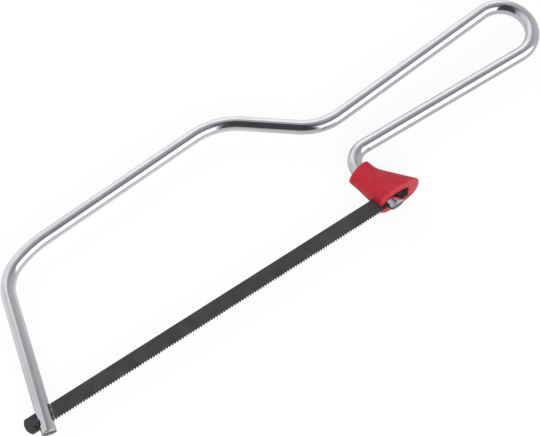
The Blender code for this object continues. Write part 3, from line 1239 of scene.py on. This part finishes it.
@dataclass
class EndCap:
    """The moulded cap on the rear leg: a round collar that flares to a mouth with a pocket.

    Along and across are directions down the rear leg and square to it, towards the handle. The top and
    the foot lie on the line of that leg, and the turns of a ring's points are in radians.
    """

    rod: BentFrame
    blade: SawBlade
    collar_wall: float = 2.2 * MM
    collar_over_bend: float = 1.55 * MM
    mouth_below_pin: float = 0.65 * MM
    front_wall: float = 1.8 * MM
    side_wall: float = 4.7 * MM
    rear_lip: float = 4.5 * MM
    front_fullness: float = 3.3
    rear_fullness: float = 2.4
    pocket_fullness: float = 2.2
    flare_start: float = 0.27
    flare_ease: float = 0.12
    edge_radius: float = 0.5 * MM
    edge_rub: float = 1.0
    flank_rub: float = 0.6
    pocket_edge: float = 0.3 * MM
    pocket_rub: float = 0.7
    bore_edge: float = 0.25 * MM
    fit: float = 0.1 * MM
    pocket_gap: float = 0.4 * MM
    pocket_half: float = 3.7 * MM
    pocket_above_pin: float = 3.9 * MM
    parting_ridge: float = 0.05 * MM
    parting_width: float = radians(1.6)
    turn_gap: float = 0.02
    sides: int = 96
    flare_steps: int = 36
    edge_steps: int = 6
    sharp_over: float = 40.0
    along: Vector = field(init=False)
    across: Vector = field(init=False)
    top: Vector = field(init=False)
    foot: Vector = field(init=False)
    mouth_y: float = field(init=False)
    pocket_front: float = field(init=False)
    pocket_rear: float = field(init=False)
    turns: list[float] = field(init=False)

    def __post_init__(self) -> None:
        """Works out the places of the collar, the pocket and the mouth."""
        rod = self.rod
        pin = rod.rear_pin
        self.along = heading_vector(rod.rear_heading)
        self.across = left_of(rod.rear_heading)
        self.top = rod.rear_stations()[-2][0] - self.along * self.collar_over_bend
        self.mouth_y = pin.y - self.mouth_below_pin
        self.foot = self.top + self.along * (self.mouth_y - self.top.y) / self.along.y
        self.pocket_front = self.foot.x - rod.radius / self.across.x - self.pocket_gap
        self.pocket_rear = pin.x + self.blade.tail + self.pocket_gap
        # Five turns on either side of the cap carry the ridge of its parting line.
        ridge = [side + k * self.parting_width / 2 for side in (0, pi) for k in range(-2, 3)]
        even = even_turns(self.sides)
        clear = [turn for turn in even if all(abs(turn - spot) > self.turn_gap for spot in ridge)]
        self.turns = sorted(turn % (2 * pi) for turn in clear + ridge)

    @property
    def collar_radius(self) -> float:
        """Outer radius of the collar."""
        return self.rod.radius + self.fit + self.collar_wall

    @property
    def mouth_front(self) -> float:
        """Front end of the mouth, along X."""
        return self.pocket_front - self.front_wall

    def _flare(self, share: float) -> float:
        """How far the cap has opened at a share of its height.

        Args:
            share: The share, 0 at the collar and 1 at the mouth.

        Returns:
            The opening, 0 at the collar and 1 at the mouth.
        """
        eased = min(max(share - self.flare_start + self.flare_ease, 0), 2 * self.flare_ease)
        straight = max(share - self.flare_start - self.flare_ease, 0)
        return (eased**2 / (4 * self.flare_ease) + straight) / (1 - self.flare_start)

    def _ridge(self, turn: float) -> float:
        """Height of the parting line at a turn."""
        away = min(abs(turn), abs(turn - pi), abs(turn - 2 * pi))
        return self.parting_ridge * max(0.0, 1 - away / self.parting_width)

    def _outer_ring(self, share: float, inset: float) -> Ring:
        """A ring of the outer skin.

        Args:
            share: Its share of the cap's height.
            inset: How far it is drawn in.

        Returns:
            Its points.
        """
        opened = self._flare(share)
        centre = self.top.lerp(self.foot, share)
        reach = (self.pocket_rear + self.rear_lip - self.mouth_front) / 2
        middle = self.mouth_front + reach - self.foot.x
        half = self.pocket_half + self.side_wall
        points = []
        for turn in self.turns:
            wide, tall = oval(turn, self.rear_fullness if cos(turn) > 0 else self.front_fullness)
            mouth = Vector((middle + reach * wide, 0, half * tall))
            collar = self.collar_radius * (cos(turn) * self.across + sin(turn) * UP)
            spot = collar.lerp(mouth, opened)
            points.append(centre + spot * (1 + (self._ridge(turn) - inset) / spot.length))
        return points

    def _pocket_ring(self, y: float, inset: float) -> Ring:
        """A ring of the pocket's wall.

        Args:
            y: Its height.
            inset: How far it is drawn in, or let out if negative.

        Returns:
            Its points.
        """
        middle = (self.pocket_front + self.pocket_rear) / 2
        reach = (self.pocket_rear - self.pocket_front) / 2 - inset
        half = self.pocket_half - inset
        ovals = [oval(turn, self.pocket_fullness) for turn in self.turns]
        return [Vector((middle + reach * wide, y, self.foot.z + half * tall)) for wide, tall in ovals]

    def _outside(self) -> Shape:
        """The cap as a solid, from the rounded top of the collar to the rounded rim of the mouth.

        Returns:
            The solid.
        """
        height = (self.foot - self.top).length
        edge = rounded(self.edge_radius, self.edge_steps)
        trim = self.edge_radius / height
        rings = [(self._outer_ring(deep / height, thin), self.edge_rub) for deep, thin in edge[:-1]]
        for step in range(self.flare_steps + 1):
            rub = self.flank_rub if step in (0, self.flare_steps) else 0.0
            share = trim + (1 - 2 * trim) * step / self.flare_steps
            rings.append((self._outer_ring(share, 0), rub))
        rings += [(self._outer_ring(1 - thin / height, deep), self.edge_rub) for deep, thin in edge[1:]]
        return self._rubbed_skin(rings)

    def _pocket(self) -> Shape:
        """The pocket as a solid, let out at the mouth for the rim's inner edge.

        Returns:
            The solid.
        """
        ceiling = self.rod.rear_pin.y + self.pocket_above_pin
        mouth = [(-self.rod.overrun, self.pocket_edge)] + rounded(self.pocket_edge, self.edge_steps)
        inner = rounded(self.edge_radius, self.edge_steps)
        rings = [(self._pocket_ring(self.mouth_y + deep, -thin), self.pocket_rub) for deep, thin in mouth]
        rings += [(self._pocket_ring(ceiling - thin, deep), 0.0) for deep, thin in inner]
        return self._rubbed_skin(rings)

    def _bore(self) -> Shape:
        """The bore as a solid that follows the rod, let out at the collar's top.

        Returns:
            The solid.
        """
        rings = []
        for point, heading in self.rod.rear_stations():
            above = (self.top - point).dot(self.along) + self.bore_edge
            radius = self.rod.radius + self.fit + min(max(above, 0.0), self.bore_edge)
            rings.append((circle(point, left_of(heading), UP, radius, self.turns), 0.0))
        return self._rubbed_skin(rings)

    def _blade_slot(self) -> Shape:
        """The slot for the blade through the front wall, as a solid.

        Returns:
            The solid.
        """
        low = self.mouth_y - self.rod.overrun
        high = self.rod.rear_pin.y + self.rod.slot_above_pin
        start = self.mouth_front - self.collar_radius
        centre = Vector(((start + self.foot.x) / 2, (low + high) / 2, self.foot.z))
        size = Vector((self.foot.x - start, high - low, self.rod.slot_width))
        return block(centre, RIGHT, AHEAD, size)

    @staticmethod
    def _rubbed_skin(rings: Sequence[tuple[Ring, float]]) -> Shape:
        """Lays a skin over rings and stores how much each is rubbed.

        Args:
            rings: The rings, in order, each with its share of rubbing.

        Returns:
            The skin.
        """
        shape = skin([ring for ring, _ in rings])
        layer = shape.verts.layers.float.new(RIM)
        count = len(rings[0][0])
        for k, vert in enumerate(shape.verts):
            vert[layer] = rings[k // count][1]
        return shape

    def build(self, finish: Material) -> None:
        """Builds and dresses the cap.

        Args:
            finish: Its plastic.
        """
        cap = add_object("end_cap_moulding", self._outside())
        cap.data.materials.append(finish)
        cut(cap, [self._pocket(), self._bore(), self._blade_slot()])
        hand_over(cap, self.sharp_over, Body.FRAME, "end_cap")


def face_saw(name: str, data: Any, place: Vector, aim: Vector) -> Piece:
    """Puts a camera or a lamp in its place and turns it to the saw.

    Args:
        name: Its name.
        data: The camera or the light.
        place: Where it is.
        aim: What it is turned to.

    Returns:
        The object.
    """
    made = bpy.data.objects.new(name, data)
    made.location = place
    made.rotation_euler = (aim - place).to_track_quat("-Z", "Y").to_euler()
    bpy.context.scene.collection.objects.link(made)
    return made


@dataclass(frozen=True)
class Viewpoint:
    """The camera: its angles round the saw in degrees, its aim and its lens."""

    azimuth: float = -34.6
    elevation: float = 65.0
    distance: float = 541.9 * MM
    aim: Vector = Vector((-8.88 * MM, -10.48 * MM, 8.252 * MM)).freeze()
    lens: float = 103.6
    sensor: float = 36.0

    def place(self) -> None:
        """Makes the camera and hands it to the scene."""
        turn = radians(self.azimuth)
        lift = radians(self.elevation)
        back = Vector((sin(turn) * cos(lift), -cos(turn) * cos(lift), sin(lift)))
        data = bpy.data.cameras.new("viewpoint")
        data.lens = self.lens
        data.sensor_width = self.sensor
        spot = self.aim + back * self.distance
        bpy.context.scene.camera = face_saw("viewpoint", data, spot, self.aim)


@dataclass(frozen=True)
class SoftBox:
    """A soft panel as the metal mirrors it: its edges in degrees round the saw and up, and its level.

    A panel without a top reaches up to the zenith.
    """

    start: float
    end: float
    fade: float
    level: float
    top: float = 90.0
    top_fade: float = 0.0

    def seen(self, bench: Bench, turn: Socket, height: Socket) -> Socket:
        """How much of the panel lies in a direction.

        Args:
            bench: The world's bench.
            turn: The direction's angle round the saw, in radians.
            height: The sine of its angle up.

        Returns:
            The socket with the share.
        """
        across = bench.band(turn, radians(self.start), radians(self.end), radians(self.fade))
        if not self.top_fade:
            return across
        low, high = (sin(radians(self.top + side * self.top_fade)) for side in (-1, 1))
        return bench.product(across, bench.ease(height, high, low))


@dataclass
class Studio:
    """The pale floor and the soft light round the saw.

    Pairs are spans of a direction's X, Y or Z, from where a change sets in to where it is complete.
    """

    floor_half: float = 3.0
    floor_below: float = 0.1 * MM
    ambient: float = 0.66
    horizon: float = 0.52
    ceiling_front: float = 0.19
    ceiling_back: float = 0.45
    ceiling_rise: Pair = (0.55, 0.95)
    ceiling_depth: Pair = (-0.5, 0.45)
    shade: float = 0.06
    shade_rise: Pair = (0.955, 0.985)
    shade_right: Pair = (0.14, 0.10)
    shade_back: Pair = (0.26, 0.12)
    front_box: SoftBox = SoftBox(-99.0, -36.0, 6.0, 1.40, 55.0, 7.0)
    rear_box: SoftBox = SoftBox(82.0, 150.0, 14.0, 0.96, 74.0, 16.0)
    side_box: SoftBox = SoftBox(42.0, 84.0, 8.0, 1.12, 49.0, 12.0)
    left_box: SoftBox = SoftBox(122.0, 168.0, 12.0, 0.72, 66.0, 16.0)
    room: SoftBox = SoftBox(-172.0, -103.0, 6.0, 0.06)
    room_rise: Pair = (0.0, 0.26)
    lamp_size: float = 0.8
    front_lamp: Vector = Vector((-0.3, -0.9, 0.65)).freeze()
    front_watts: float = 8.0
    rear_lamp: Vector = Vector((0.1, 0.8, 0.7)).freeze()
    rear_watts: float = 3.2

    def _floor(self) -> None:
        """Lays the floor."""
        shape = bmesh.new()
        bmesh.ops.create_grid(shape, x_segments=1, y_segments=1, size=self.floor_half)
        bmesh.ops.translate(shape, verts=shape.verts, vec=-UP * self.floor_below)
        floor = add_object("floor", shape)
        floor.data.materials.append(PaleFloor().material())

    def _mirrored(self, bench: Bench) -> Socket:
        """Works out the light that the metal mirrors from each direction.

        Args:
            bench: The world's bench.

        Returns:
            The socket with its strength.
        """
        x, y, z = bench.axes(bench.add("ShaderNodeTexCoord").outputs["Generated"])
        turn = bench.math("ARCTAN2", y, x)
        ceiling = bench.ease(y, *self.ceiling_depth, self.ceiling_front, self.ceiling_back)
        shown = bench.ease(z, *self.ceiling_rise, self.horizon, ceiling)
        for box in (self.rear_box, self.left_box, self.side_box, self.front_box):
            shown = bench.between(box.seen(bench, turn, z), shown, box.level)
        spans = ((z, self.shade_rise), (x, self.shade_right), (y, self.shade_back))
        overhead = bench.product(*(bench.ease(axis, *span) for axis, span in spans))
        shaded = bench.between(overhead, shown, self.shade)
        dark = bench.product(self.room.seen(bench, turn, z), bench.ease(z, *self.room_rise))
        return bench.between(dark, shaded, self.room.level)

    def _world(self) -> None:
        """Surrounds the saw with soft white panels, a grey ceiling and the dark behind the camera."""
        world = bpy.data.worlds.new("studio")
        bpy.context.scene.world = world
        world.use_nodes = True
        world.node_tree.nodes.clear()
        bench = Bench(world.node_tree)
        path = bench.add("ShaderNodeLightPath").outputs
        glossy = bench.math("MAXIMUM", path["Is Glossy Ray"], path["Is Transmission Ray"])
        # Only what mirrors sees the panels. Matt surfaces get an even light, and the camera sees white.
        soft = bench.between(glossy, self.ambient, self._mirrored(bench))
        strength = bench.between(path["Is Camera Ray"], soft, 1.0)
        sky = bench.make("ShaderNodeBackground", {"Color": (1, 1, 1, 1), "Strength": strength})
        bench.add("ShaderNodeOutputWorld", {"Surface": sky})

    def _lamp(self, name: str, place: Vector, watts: float) -> None:
        """Hangs a soft square lamp that lights the saw and isn't mirrored in it.

        Args:
            name: Its name.
            place: Where it hangs.
            watts: Its power.
        """
        data = bpy.data.lights.new(name, "AREA")
        data.shape = "SQUARE"
        data.size = self.lamp_size
        data.energy = watts
        face_saw(name, data, place, Vector()).visible_glossy = False

    def build(self) -> None:
        """Sets up the floor, the light and the camera."""
        bpy.context.scene.view_settings.view_transform = "Standard"
        self._floor()
        self._world()
        self._lamp("front_lamp", self.front_lamp, self.front_watts)
        self._lamp("rear_lamp", self.rear_lamp, self.rear_watts)
        Viewpoint().place()


def middle_of(node: str) -> Vector:
    """The middle of a CAD node's box."""
    low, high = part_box(node)
    return (low + high) / 2


def main() -> None:
    """Builds the saw and the studio round it."""
    logging.basicConfig(level=logging.INFO, format="%(name)s %(message)s")
    front_pin = middle_of("front_pin")
    rear_pin = middle_of("rear_pin")
    rod = BentFrame(front_pin, rear_pin)
    rod.build(PlatedSteel().material())
    blade = SawBlade(front_pin, rear_pin)
    blade.build(BlackenedSteel(rod, blade).material())
    CrossPin("front_pin", front_pin).build()
    CrossPin("rear_pin", rear_pin).build()
    EndCap(rod, blade).build(MouldedPlastic().material())
    Studio().build()


if __name__ == "__main__":
    main()
